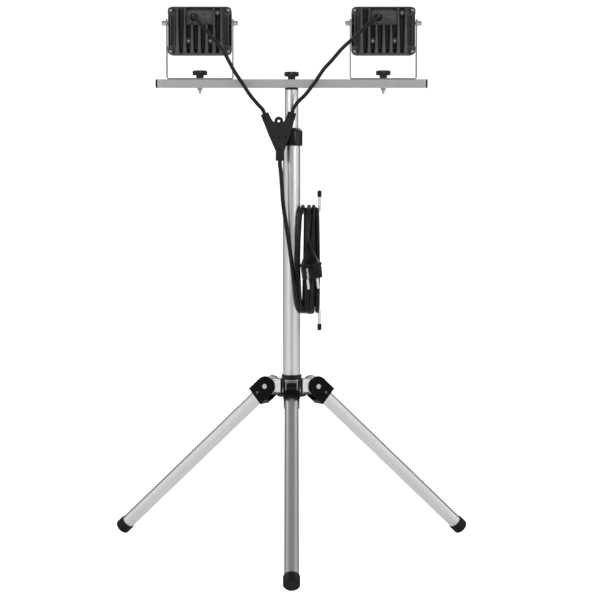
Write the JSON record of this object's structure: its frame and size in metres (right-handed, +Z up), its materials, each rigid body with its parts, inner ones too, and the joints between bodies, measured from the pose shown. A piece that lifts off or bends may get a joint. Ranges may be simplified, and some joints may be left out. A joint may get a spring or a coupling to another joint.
{
  "type": "twin work light on tripod stand",
  "caption": "Twin LED floodlight work light on a square crossbar, telescopic mast and folding tripod, with a mains lead wound on mast hooks.",
  "frame": {"origin": "on the floor, midway between the outermost points of the feet across and fore and aft; the mast axis stands 91.25 mm from it towards +Y", "axes": "+Z up along the mast; +X along the crossbar towards the lamp on the right when the heat sinks are seen; +Y the way the lamps shine; the front leg points to -Y"},
  "size_m": [0.6664, 0.5812, 0.9785],
  "materials": {
    "satin_aluminium": "satin drawn tube, anodised",
    "bright_steel": "zinc-plated or stainless, bright",
    "black_plastic": "moulded, semi-gloss",
    "black_rubber": "matt moulded",
    "cable_rubber": "matt sheath",
    "grey_casting": "dark grey satin powder coat on die-cast aluminium",
    "lamp_glass": "clear toughened",
    "mirror_sheet": "bright pressed sheet",
    "led_board": "yellow LED field on a white board"
  },
  "bodies": {
    "stand": {"hub_body": "black_plastic", "hinge_bracket_front": "bright_steel", "hinge_bracket_left": "bright_steel", "hinge_bracket_right": "bright_steel", "hinge_pin_front": "bright_steel", "hinge_pin_left": "bright_steel", "hinge_pin_right": "bright_steel", "lower_tube": "satin_aluminium", "clamp_collet": "black_plastic", "hook_upper": "bright_steel", "hook_lower": "bright_steel", "hook_tip_upper": "black_rubber", "hook_tip_lower": "black_rubber", "lead_hank": "cable_rubber", "trunk_lead": "cable_rubber", "plug_body": "black_rubber", "plug_pin_left": "bright_steel", "plug_pin_right": "bright_steel"},
    "leg_front": {"leg_tube_front": "satin_aluminium", "leg_fork_front": "black_plastic", "foot_front": "black_rubber"},
    "leg_left": {"leg_tube_left": "satin_aluminium", "leg_fork_left": "black_plastic", "foot_left": "black_rubber"},
    "leg_right": {"leg_tube_right": "satin_aluminium", "leg_fork_right": "black_plastic", "foot_right": "black_rubber"},
    "clamp_collar": {"clamp_collar": "black_plastic"},
    "mast_upper": {"upper_tube": "satin_aluminium", "slide_bush": "black_plastic", "mast_top_plug": "black_plastic"},
    "crossbar": {"crossbar": "satin_aluminium", "bar_cap_left": "black_plastic", "bar_cap_right": "black_plastic", "bracket_nut_left": "bright_steel", "bracket_nut_right": "bright_steel", "cable_splitter": "black_rubber", "lamp_lead_left": "cable_rubber", "lamp_lead_right": "cable_rubber"},
    "centre_knob": {"centre_knob": "black_plastic"},
    "bracket_knob_left": {"bracket_knob_left": "black_plastic"},
    "bracket_knob_right": {"bracket_knob_right": "black_plastic"},
    "bracket_left": {"lamp_bracket_left": "bright_steel"},
    "bracket_right": {"lamp_bracket_right": "bright_steel"},
    "lamp_left": {"heatsink_body_left": "grey_casting", "front_bezel_left": "grey_casting", "front_glass_left": "lamp_glass", "reflector_left": "mirror_sheet", "led_board_left": "led_board", "cable_gland_left": "black_rubber", "pivot_bolt_left_left": "bright_steel", "pivot_bolt_left_right": "bright_steel"},
    "lamp_right": {"heatsink_body_right": "grey_casting", "front_bezel_right": "grey_casting", "front_glass_right": "lamp_glass", "reflector_right": "mirror_sheet", "led_board_right": "led_board", "cable_gland_right": "black_rubber", "pivot_bolt_right_left": "bright_steel", "pivot_bolt_right_right": "bright_steel"}
  },
  "joints": [
    {"name": "leg_front_fold", "type": "hinge", "parent": "stand", "child": "leg_front", "pos_m": [0, 0.04375, 0.297], "axis": [1, 0, 0], "range_deg": [0, 48.6]},
    {"name": "leg_left_fold", "type": "hinge", "parent": "stand", "child": "leg_left", "pos_m": [-0.04114, 0.115, 0.297], "axis": [-0.5, -0.866, 0], "range_deg": [0, 48.6]},
    {"name": "leg_right_fold", "type": "hinge", "parent": "stand", "child": "leg_right", "pos_m": [0.04114, 0.115, 0.297], "axis": [-0.5, 0.866, 0], "range_deg": [0, 48.6]},
    {"name": "collar_turn", "type": "hinge", "parent": "stand", "child": "clamp_collar", "pos_m": [0, 0.09125, 0.747], "axis": [0, 0, 1], "range_deg": [0, 90]},
    {"name": "mast_slide", "type": "slide", "parent": "stand", "child": "mast_upper", "axis": [0, 0, 1], "range_m": [-0.03, 0.3], "deforming": ["trunk_lead"]},
    {"name": "crossbar_swivel", "type": "hinge", "parent": "mast_upper", "child": "crossbar", "pos_m": [0, 0.09125, 0.842], "axis": [0, 0, 1], "range_deg": [-60, 60], "deforming": ["trunk_lead"]},
    {"name": "centre_knob_turn", "type": "hinge", "parent": "crossbar", "child": "centre_knob", "pos_m": [0, 0.09125, 0.8565], "axis": [0, 0, 1], "range_deg": [0, 360]},
    {"name": "bracket_knob_left_turn", "type": "hinge", "parent": "crossbar", "child": "bracket_knob_left", "pos_m": [-0.164, 0.09125, 0.8588], "axis": [0, 0, 1], "range_deg": [0, 360]},
    {"name": "bracket_left_swivel", "type": "hinge", "parent": "crossbar", "child": "bracket_left", "pos_m": [-0.164, 0.09125, 0.8508], "axis": [0, 0, 1], "range_deg": [-60, 60], "deforming": ["lamp_lead_left"]},
    {"name": "lamp_left_tilt", "type": "hinge", "parent": "bracket_left", "child": "lamp_left", "pos_m": [-0.164, 0.09125, 0.9495], "axis": [1, 0, 0], "range_deg": [-60, 90], "deforming": ["lamp_lead_left"]},
    {"name": "bracket_knob_right_turn", "type": "hinge", "parent": "crossbar", "child": "bracket_knob_right", "pos_m": [0.164, 0.09125, 0.8588], "axis": [0, 0, 1], "range_deg": [0, 360]},
    {"name": "bracket_right_swivel", "type": "hinge", "parent": "crossbar", "child": "bracket_right", "pos_m": [0.164, 0.09125, 0.8508], "axis": [0, 0, 1], "range_deg": [-60, 60], "deforming": ["lamp_lead_right"]},
    {"name": "lamp_right_tilt", "type": "hinge", "parent": "bracket_right", "child": "lamp_right", "pos_m": [0.164, 0.09125, 0.9495], "axis": [1, 0, 0], "range_deg": [-60, 90], "deforming": ["lamp_lead_right"]}
  ]
}
